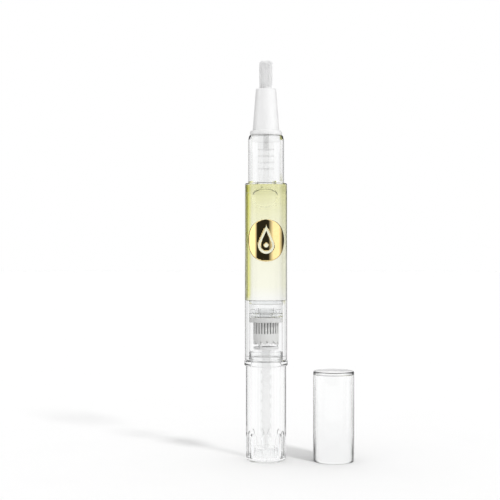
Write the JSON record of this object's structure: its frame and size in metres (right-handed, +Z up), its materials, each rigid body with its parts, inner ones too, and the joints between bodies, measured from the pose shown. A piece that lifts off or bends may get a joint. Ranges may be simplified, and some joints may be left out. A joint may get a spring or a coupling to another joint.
{
  "type": "nail oil pen",
  "caption": "Clear twist pen that feeds yellow nail oil to a soft brush tip by a screw-driven piston, with a clear push-on cap standing beside it.",
  "frame": {"origin": "centre of the flat foot of the knob, which the pen stands on", "axes": "+Z up along the pen's axis towards the brush; the badge faces -Y; the cap stands on the +X side"},
  "size_m": [0.0338, 0.0142, 0.1232],
  "materials": {
    "clear_plastic": "polished, clear",
    "natural_plastic": "translucent, satin",
    "white_plastic": "moulded, satin",
    "nylon_bristle": "fine nylon bristles",
    "gold_foil": "polished hot foil",
    "oil": "clear pale yellow liquid"
  },
  "bodies": {
    "barrel_body": {"barrel": "clear_plastic", "neck": "clear_plastic", "brush_holder": "white_plastic", "feed_tube": "natural_plastic", "bristle_tuft": "nylon_bristle", "foil_badge": "gold_foil", "drive_nut": "white_plastic", "oil_fill": "oil"},
    "knob_body": {"knob": "clear_plastic", "drive_sleeve": "natural_plastic", "ratchet_ring": "natural_plastic"},
    "rod_body": {"screw_rod": "natural_plastic"},
    "piston_body": {"piston": "natural_plastic"},
    "cap_body": {"cap": "clear_plastic"}
  },
  "joints": [
    {"name": "knob_twist", "type": "hinge", "parent": "barrel_body", "child": "knob_body", "pos_m": [0, 0, 0.031], "axis": [0, 0, 1], "range_deg": [0, 3600]},
    {"name": "rod_feed", "type": "slide", "parent": "knob_body", "child": "rod_body", "axis": [0, 0, 1], "range_m": [0, 0.03]},
    {"name": "piston_slide", "type": "slide", "parent": "barrel_body", "child": "piston_body", "axis": [0, 0, 1], "range_m": [0, 0.03], "deforming": ["oil_fill"]},
    {"name": "cap_lift", "type": "slide", "parent": "barrel_body", "child": "cap_body", "axis": [0, 0, 1], "range_m": [0, 0.13]}
  ],
  "couplings": [
    {"joint": "rod_feed", "follows": "knob_twist", "m_per_rad": 0.00047746},
    {"joint": "piston_slide", "follows": "knob_twist", "m_per_rad": 0.00047746}
  ]
}
